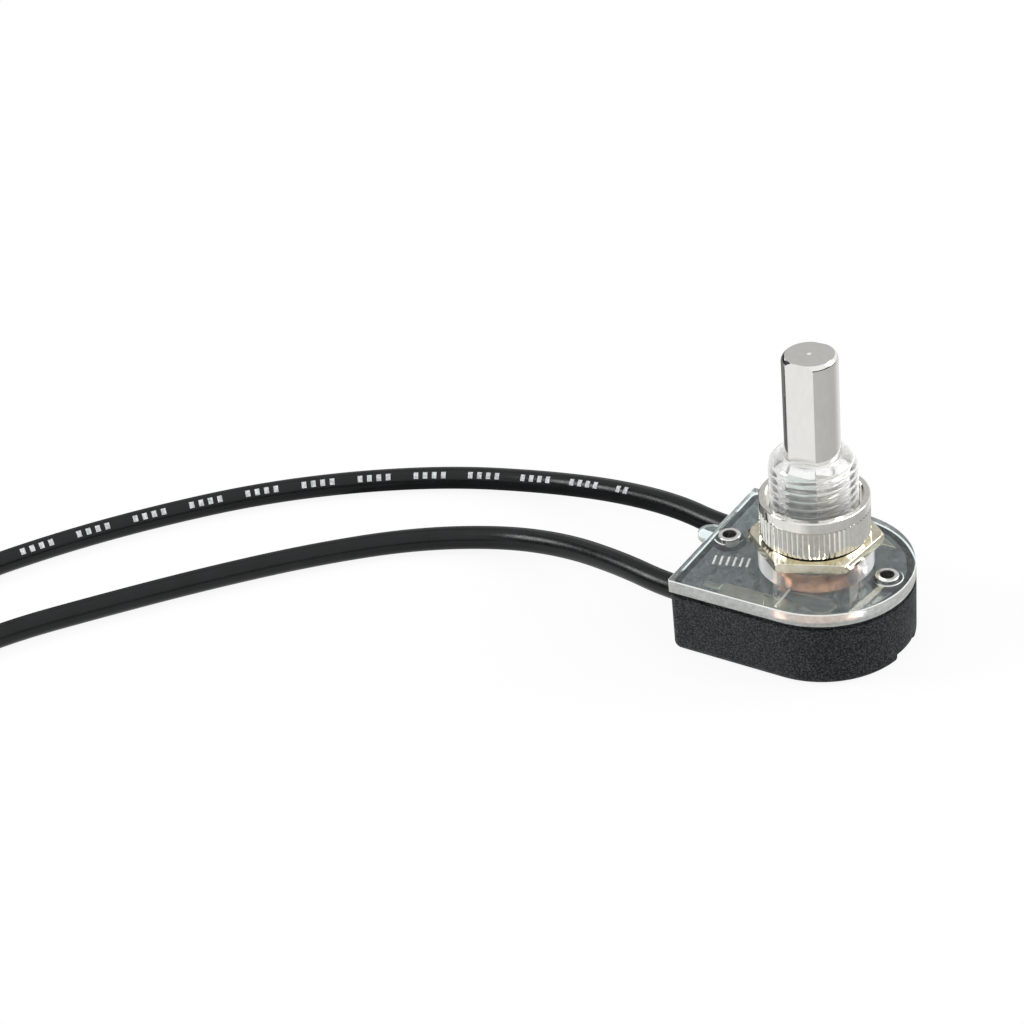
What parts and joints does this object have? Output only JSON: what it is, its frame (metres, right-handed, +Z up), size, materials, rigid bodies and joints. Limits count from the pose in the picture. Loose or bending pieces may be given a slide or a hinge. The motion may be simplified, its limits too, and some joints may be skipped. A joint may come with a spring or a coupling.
{
  "type": "pushbutton switch",
  "caption": "Push-button lamp switch with a black base, clear threaded cover, bright push rod, hexagon nut, knurled ring nut and black leads.",
  "frame": {"origin": "on the push rod's axis at the underside of the base", "axes": "+Z up along the push rod and the threaded bushing, +X towards the body's round end; the leads leave through the flat end towards -X"},
  "size_m": [0.1136, 0.1098, 0.0347],
  "materials": {
    "black_base": "matte, finely textured",
    "clear_plastic": "clear gloss",
    "bright_eyelet": "bright tinned",
    "yellow_nut": "bright yellow plated",
    "nickel_nut": "nickel plated",
    "nickel_rod": "polished nickel plated",
    "copper_contact": "bare copper",
    "brass_strip": "rolled brass",
    "moulded_works": "natural nylon",
    "spring_steel": "drawn wire",
    "washer_steel": "plain",
    "lead_insulation": "satin",
    "copper_strand": "bare stranded copper"
  },
  "bodies": {
    "housing": {"base_housing": "black_base", "clear_cover": "clear_plastic", "cover_eyelets": "bright_eyelet", "pivot_washer": "washer_steel", "front_contact": "brass_strip", "rear_contact": "brass_strip", "front_terminal": "brass_strip", "rear_terminal": "brass_strip", "front_strands": "copper_strand", "rear_strands": "copper_strand", "front_lead": "lead_insulation", "rear_lead": "lead_insulation", "front_lead_tip": "copper_strand", "rear_lead_tip": "copper_strand"},
    "rod": {"push_rod": "nickel_rod", "rod_stop_ring": "spring_steel", "ratchet_driver": "moulded_works", "return_spring": "spring_steel"},
    "rotor_body": {"rotor": "moulded_works", "contact_sleeve": "copper_contact"},
    "hex_nut_body": {"hex_nut": "yellow_nut"},
    "ring_nut_body": {"ring_nut": "nickel_nut"}
  },
  "joints": [
    {"name": "rod_press", "type": "slide", "parent": "housing", "child": "rod", "axis": [0, 0, -1], "range_m": [0, 0.0025], "stiffness_N_per_m": 700, "springref_m": -0.003, "deforming": ["return_spring"]},
    {"name": "rotor_turn", "type": "hinge", "parent": "housing", "child": "rotor_body", "pos_m": [0, 0, 0.003], "axis": [0, 0, 1], "range_deg": [0, 45]},
    {"name": "hex_nut_turn", "type": "hinge", "parent": "housing", "child": "hex_nut_body", "pos_m": [0, 0, 0.0122], "axis": [0, 0, 1], "continuous": true},
    {"name": "ring_nut_turn", "type": "hinge", "parent": "housing", "child": "ring_nut_body", "pos_m": [0, 0, 0.0154], "axis": [0, 0, 1], "continuous": true}
  ],
  "couplings": [
    {"joint": "rotor_turn", "follows": "rod_press", "rad_per_m": 314.16}
  ]
}
